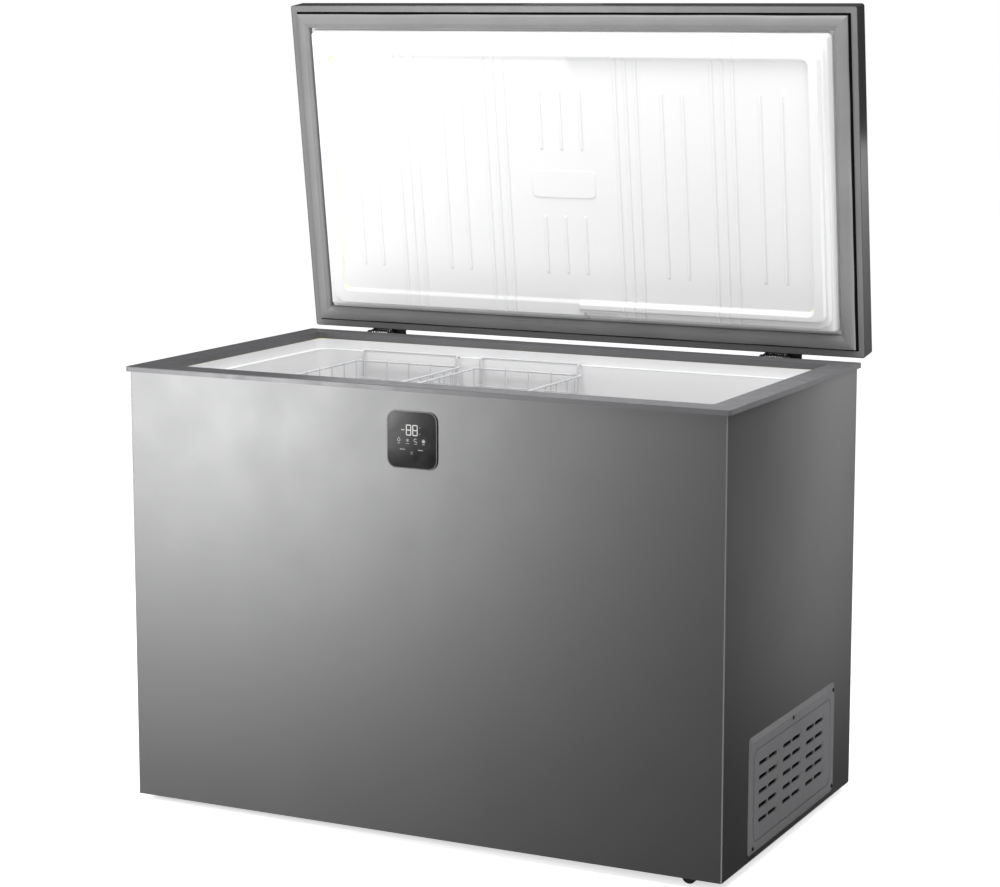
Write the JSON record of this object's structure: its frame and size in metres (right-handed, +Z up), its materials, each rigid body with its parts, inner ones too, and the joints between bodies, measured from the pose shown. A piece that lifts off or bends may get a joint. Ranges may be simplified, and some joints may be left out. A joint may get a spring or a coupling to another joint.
{
  "type": "chest freezer",
  "caption": "Chest freezer with a sprung lid, lift-out baskets, a front touch panel, castors and a vented compressor bay.",
  "frame": {"origin": "on the floor, at the middle of the freezer's width and of its whole depth with the lid open", "axes": "+Z up, +Y from the front to the back, +X to the right of a person facing the front"},
  "size_m": [1.144, 0.697, 1.4285],
  "materials": {
    "silver_paint": "satin metallic",
    "back_sheet": "satin",
    "galvanised": "spangled",
    "collar_plastic": "fine grain",
    "white_liner": "embossed white",
    "white_trim": "moulded white",
    "foam": "rigid foam",
    "pipe_aluminium": "drawn tube",
    "pipe_steel": "coated tube",
    "copper": "drawn copper",
    "bezel_metal": "bright edge",
    "panel_glass": "gloss dark panel",
    "black_plastic": "moulded",
    "circuit_board": "solder mask",
    "grille_plastic": "moulded",
    "black_screw": "black zinc",
    "compressor_black": "gloss black",
    "rubber": "moulded",
    "zinc": "zinc plated",
    "drain_plug": "moulded",
    "lid_paint": "satin metallic",
    "lid_frame_plastic": "moulded",
    "gasket": "soft extrusion",
    "lid_liner_plastic": "vacuum formed",
    "basket_wire": "plastic coated wire",
    "hinge_black": "black enamel",
    "spring_steel": "bright spring wire",
    "wheel_nylon": "nylon"
  },
  "bodies": {
    "cabinet": {"back_panel": "back_sheet", "base_plate": "galvanised", "basket_ledge": "white_trim", "bay_shield": "galvanised", "cabinet_foam": "foam", "cabinet_wrapper": "silver_paint", "castor_axles": "zinc", "castor_bracket_front_left": "galvanised", "castor_bracket_front_right": "galvanised", "castor_bracket_rear_left": "galvanised", "castor_bracket_rear_right": "galvanised", "castor_screws": "zinc", "compressor": "compressor_black", "compressor_bolts": "zinc", "compressor_feet": "compressor_black", "compressor_grommets": "rubber", "condenser_tube": "pipe_steel", "control_bezel": "bezel_metal", "control_board": "circuit_board", "control_glass": "panel_glass", "control_housing": "black_plastic", "cord_gland": "black_plastic", "discharge_pipe": "copper", "drain_tube": "black_plastic", "evaporator_tube": "pipe_aluminium", "filter_drier": "copper", "grille_screws": "black_screw", "hinge_base_left": "hinge_black", "hinge_base_right": "hinge_black", "hinge_pin_left": "zinc", "hinge_pin_right": "zinc", "hinge_screws": "black_screw", "hinge_spring_left": "spring_steel", "hinge_spring_right": "spring_steel", "inner_liner": "white_liner", "mouth_trim": "white_trim", "process_tube": "copper", "start_relay": "black_plastic", "suction_pipe": "copper", "top_collar": "collar_plastic", "vent_grille": "grille_plastic"},
    "lid": {"lid_shell": "lid_paint", "lid_handle": "lid_frame_plastic", "lid_frame": "lid_frame_plastic", "lid_gasket": "gasket", "lid_liner": "lid_liner_plastic", "lid_foam": "foam", "hinge_lid_screws": "black_screw", "hinge_arm_left": "hinge_black", "hinge_arm_right": "hinge_black"},
    "basket_left": {"basket_left": "basket_wire"},
    "basket_middle": {"basket_middle": "basket_wire"},
    "drain_plug": {"drain_plug": "drain_plug"},
    "castor_wheel_front_left": {"castor_wheel_front_left": "wheel_nylon"},
    "castor_wheel_front_right": {"castor_wheel_front_right": "wheel_nylon"},
    "castor_wheel_rear_left": {"castor_wheel_rear_left": "wheel_nylon"},
    "castor_wheel_rear_right": {"castor_wheel_rear_right": "wheel_nylon"}
  },
  "joints": [
    {"name": "lid_hinge", "type": "hinge", "parent": "cabinet", "child": "lid", "pos_m": [0, 0.2965, 0.788], "axis": [-1, 0, 0], "range_deg": [-82.3, 0], "stiffness_Nm_per_rad": 16, "deforming": ["hinge_spring_left", "hinge_spring_right"]},
    {"name": "basket_left_slide", "type": "slide", "parent": "cabinet", "child": "basket_left", "axis": [1, 0, 0], "range_m": [-0.075, 0]},
    {"name": "basket_middle_slide", "type": "slide", "parent": "cabinet", "child": "basket_middle", "axis": [1, 0, 0], "range_m": [0, 0.44]},
    {"name": "drain_plug_pull", "type": "slide", "parent": "cabinet", "child": "drain_plug", "axis": [0, 0, 1], "range_m": [0, 0.03]},
    {"name": "castor_spin_front_left", "type": "hinge", "parent": "cabinet", "child": "castor_wheel_front_left", "pos_m": [-0.5, -0.2895, 0.0125], "axis": [0, 1, 0], "continuous": true},
    {"name": "castor_spin_front_right", "type": "hinge", "parent": "cabinet", "child": "castor_wheel_front_right", "pos_m": [0.5, -0.3165, 0.0125], "axis": [0, 1, 0], "continuous": true},
    {"name": "castor_spin_rear_left", "type": "hinge", "parent": "cabinet", "child": "castor_wheel_rear_left", "pos_m": [-0.5, 0.2295, 0.0125], "axis": [0, 1, 0], "continuous": true},
    {"name": "castor_spin_rear_right", "type": "hinge", "parent": "cabinet", "child": "castor_wheel_rear_right", "pos_m": [0.5, 0.2565, 0.0125], "axis": [0, 1, 0], "continuous": true}
  ]
}
